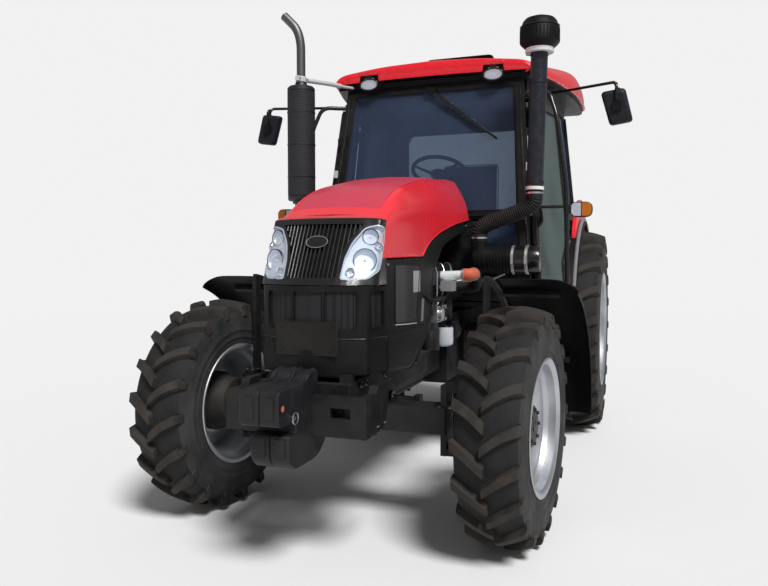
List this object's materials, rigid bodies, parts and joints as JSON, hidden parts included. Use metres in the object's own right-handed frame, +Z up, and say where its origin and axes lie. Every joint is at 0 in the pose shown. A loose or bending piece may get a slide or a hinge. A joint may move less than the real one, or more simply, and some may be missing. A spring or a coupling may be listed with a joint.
{
  "type": "farm tractor",
  "caption": "Four-wheel-drive farm tractor with a glazed cab, opening hood, doors, hatch and rear window, steered front axle and rear three-point hitch.",
  "frame": {"origin": "On the ground below the middle of the overall box.", "axes": "+X is the tractor's left, -Y is forwards, +Z is up."},
  "size_m": [2.636, 4.666, 2.9822],
  "materials": {
    "body_red": "glossy red enamel",
    "roof_red": "glossy red moulding",
    "panel_black": "black moulding",
    "frame_black": "black enamel",
    "cast_grey": "dark grey paint",
    "hitch_steel": "dark steel",
    "rim_silver": "silver enamel",
    "tyre_rubber": "worn black rubber",
    "clear_glass": "tinted glass",
    "lamp_plastic": "clear and amber lenses",
    "seat_fabric": "dark woven cover",
    "moulded_black": "black moulding",
    "exhaust_steel": "heat resistant black"
  },
  "bodies": {
    "chassis": {"front_axle": "cast_grey", "front_frame": "cast_grey", "weight_carrier": "cast_grey", "front_weights": "cast_grey", "engine": "cast_grey", "radiator": "frame_black", "gearbox": "cast_grey", "rear_axle_housing": "cast_grey", "drawbar": "hitch_steel", "lower_grille": "panel_black", "number_plate": "lamp_plastic", "side_panels": "panel_black", "cab_floor": "frame_black", "cab_front_frame": "frame_black", "cab_side_frames": "frame_black", "cab_rear_frame": "frame_black", "cab_glass": "clear_glass", "roof": "roof_red", "rear_fenders": "body_red", "dashboard": "panel_black", "steering_wheel": "moulded_black", "seat_base": "moulded_black", "seat_cushions": "seat_fabric", "muffler": "exhaust_steel", "intake_stack": "moulded_black", "air_cleaner": "moulded_black", "intake_hoses": "moulded_black", "mirrors": "panel_black", "grab_rails": "frame_black", "lamps": "lamp_plastic", "fuel_tanks": "moulded_black", "steps": "frame_black"},
    "left_knuckle": {"knuckle_left": "cast_grey", "front_fender_left": "panel_black"},
    "right_knuckle": {"knuckle_right": "cast_grey", "front_fender_right": "panel_black"},
    "front_left_wheel": {"front_rim_left": "rim_silver", "front_tyre_left": "tyre_rubber"},
    "front_right_wheel": {"front_rim_right": "rim_silver", "front_tyre_right": "tyre_rubber"},
    "rear_left_wheel": {"rear_rim_left": "rim_silver", "rear_tyre_left": "tyre_rubber"},
    "rear_right_wheel": {"rear_rim_right": "rim_silver", "rear_tyre_right": "tyre_rubber"},
    "tie_rod": {"tie_rod": "hitch_steel"},
    "hood": {"hood": "body_red", "nose_panel": "panel_black", "headlights": "clear_glass"},
    "left_door": {"left_door": "frame_black", "left_door_glass": "clear_glass"},
    "right_door": {"right_door": "frame_black", "right_door_glass": "clear_glass"},
    "rear_window": {"rear_window": "clear_glass"},
    "roof_hatch": {"roof_hatch": "panel_black"},
    "lower_links": {"lower_links": "hitch_steel"},
    "lift_arms": {"lift_arms": "hitch_steel"},
    "lift_rods": {"lift_rods": "hitch_steel"}
  },
  "joints": [
    {"name": "steering", "type": "hinge", "parent": "chassis", "child": "left_knuckle", "pos_m": [0.6045, -1.315, 0.569], "axis": [0, 0, 1], "range_deg": [-30.3, 39.7]},
    {"name": "steering_right", "type": "hinge", "parent": "chassis", "child": "right_knuckle", "pos_m": [-0.6045, -1.315, 0.569], "axis": [0, 0, 1], "range_deg": [-30.3, 39.7]},
    {"name": "tie_rod_swing", "type": "hinge", "parent": "left_knuckle", "child": "tie_rod", "pos_m": [0.62007, -1.12564, 0.493], "axis": [0, 0, 1], "range_deg": [-39.7, 30.3]},
    {"name": "front_left_spin", "type": "hinge", "parent": "left_knuckle", "child": "front_left_wheel", "pos_m": [0.83373, -1.33385, 0.569], "axis": [0.9966, -0.0819, 0], "continuous": true},
    {"name": "front_right_spin", "type": "hinge", "parent": "right_knuckle", "child": "front_right_wheel", "pos_m": [-0.83373, -1.29615, 0.569], "axis": [0.9966, -0.0819, 0], "continuous": true},
    {"name": "rear_left_spin", "type": "hinge", "parent": "chassis", "child": "rear_left_wheel", "pos_m": [0.88, 1.373, 0.792], "axis": [1, 0, 0], "continuous": true},
    {"name": "rear_right_spin", "type": "hinge", "parent": "chassis", "child": "rear_right_wheel", "pos_m": [-0.88, 1.373, 0.792], "axis": [1, 0, 0], "continuous": true},
    {"name": "hood_lift", "type": "hinge", "parent": "chassis", "child": "hood", "pos_m": [0, -0.115, 1.795], "axis": [-1, 0, 0], "range_deg": [0, 50]},
    {"name": "left_door_swing", "type": "hinge", "parent": "chassis", "child": "left_door", "pos_m": [0.82321, 0.67649, 1.97688], "axis": [-0.1067, 0, 0.9943], "range_deg": [0, 75]},
    {"name": "right_door_swing", "type": "hinge", "parent": "chassis", "child": "right_door", "pos_m": [-0.82321, 0.67649, 1.97688], "axis": [-0.1067, 0, -0.9943], "range_deg": [0, 75]},
    {"name": "rear_window_swing", "type": "hinge", "parent": "chassis", "child": "rear_window", "pos_m": [0, 1.453, 2.475], "axis": [1, 0, 0], "range_deg": [0, 60]},
    {"name": "roof_hatch_tilt", "type": "hinge", "parent": "chassis", "child": "roof_hatch", "pos_m": [0, 1.347, 2.818], "axis": [-1, 0, 0], "range_deg": [-13, 40]},
    {"name": "lower_link_lift", "type": "hinge", "parent": "chassis", "child": "lower_links", "pos_m": [0, 1.505, 0.5], "axis": [1, 0, 0], "range_deg": [-15, 45]},
    {"name": "lift_arm_swing", "type": "hinge", "parent": "chassis", "child": "lift_arms", "pos_m": [0, 1.505, 1.06], "axis": [1, 0, 0], "range_deg": [-15, 45]},
    {"name": "lift_rod_swing", "type": "hinge", "parent": "lift_arms", "child": "lift_rods", "pos_m": [0, 1.90403, 1.0321], "axis": [1, 0, 0], "range_deg": [-45, 15]}
  ],
  "couplings": [
    {"joint": "steering_right", "follows": "steering", "ratio": 1},
    {"joint": "tie_rod_swing", "follows": "steering", "ratio": -1},
    {"joint": "lift_arm_swing", "follows": "lower_link_lift", "ratio": 1},
    {"joint": "lift_rod_swing", "follows": "lower_link_lift", "ratio": -1}
  ]
}
